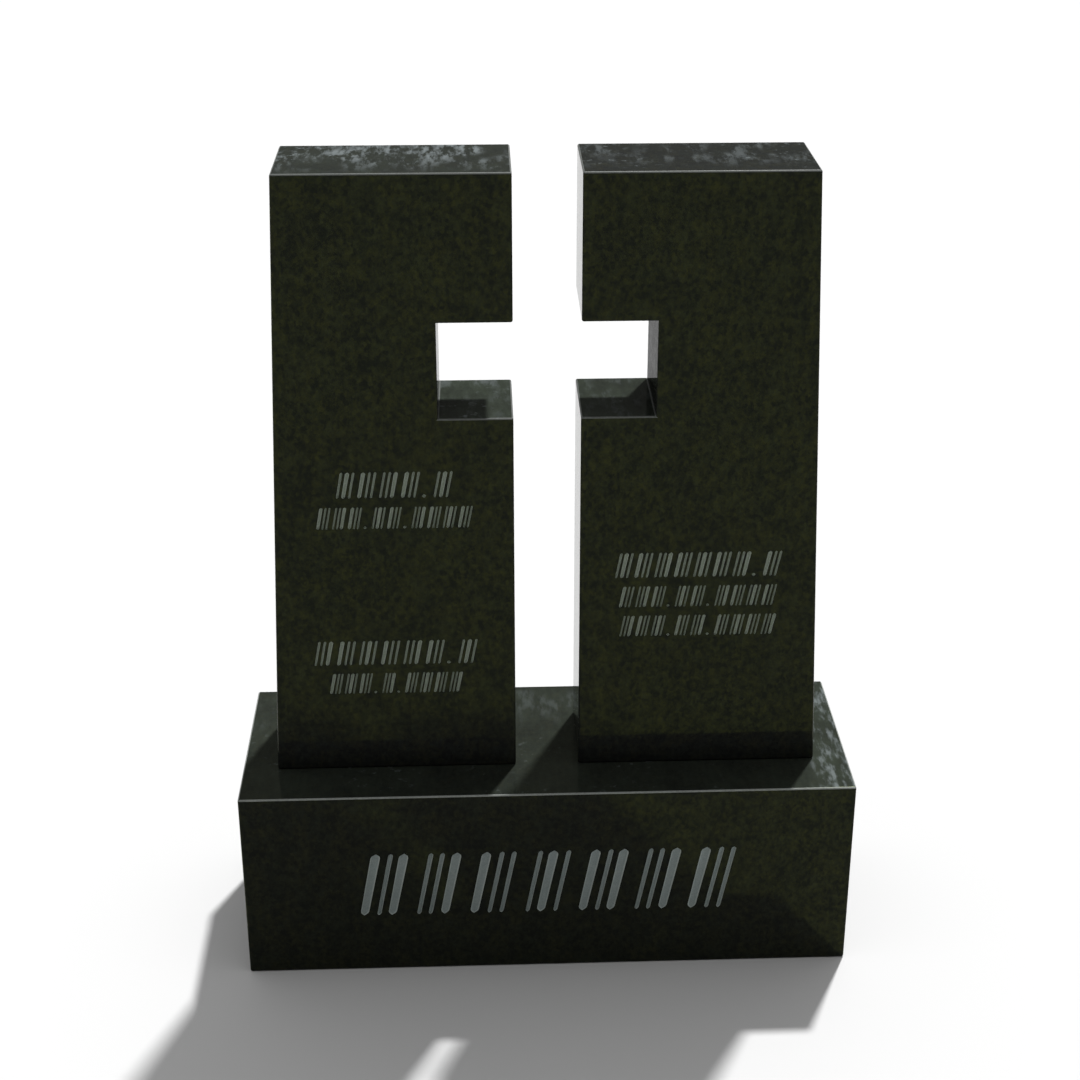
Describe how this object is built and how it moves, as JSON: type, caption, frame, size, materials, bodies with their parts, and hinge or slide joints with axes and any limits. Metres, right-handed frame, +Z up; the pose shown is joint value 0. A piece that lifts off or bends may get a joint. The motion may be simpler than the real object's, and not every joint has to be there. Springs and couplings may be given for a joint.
{
  "type": "companion headstone",
  "caption": "Upright grave marker with tapering stone tablets on a block base, notched so that the opening between them is a cross.",
  "frame": {"origin": "middle of the base's underside, on the ground plane", "axes": "+Z up, +X to the viewer's right, -Y out of the inscribed front faces"},
  "size_m": [0.914, 0.315, 1.2243],
  "materials": {
    "polished_granite": "near-black granite with an olive cast, polished on every face, with frosted sunk strokes"
  },
  "bodies": {
    "root": {"base": "polished_granite", "left_tablet": "polished_granite", "right_tablet": "polished_granite"}
  },
  "joints": []
}
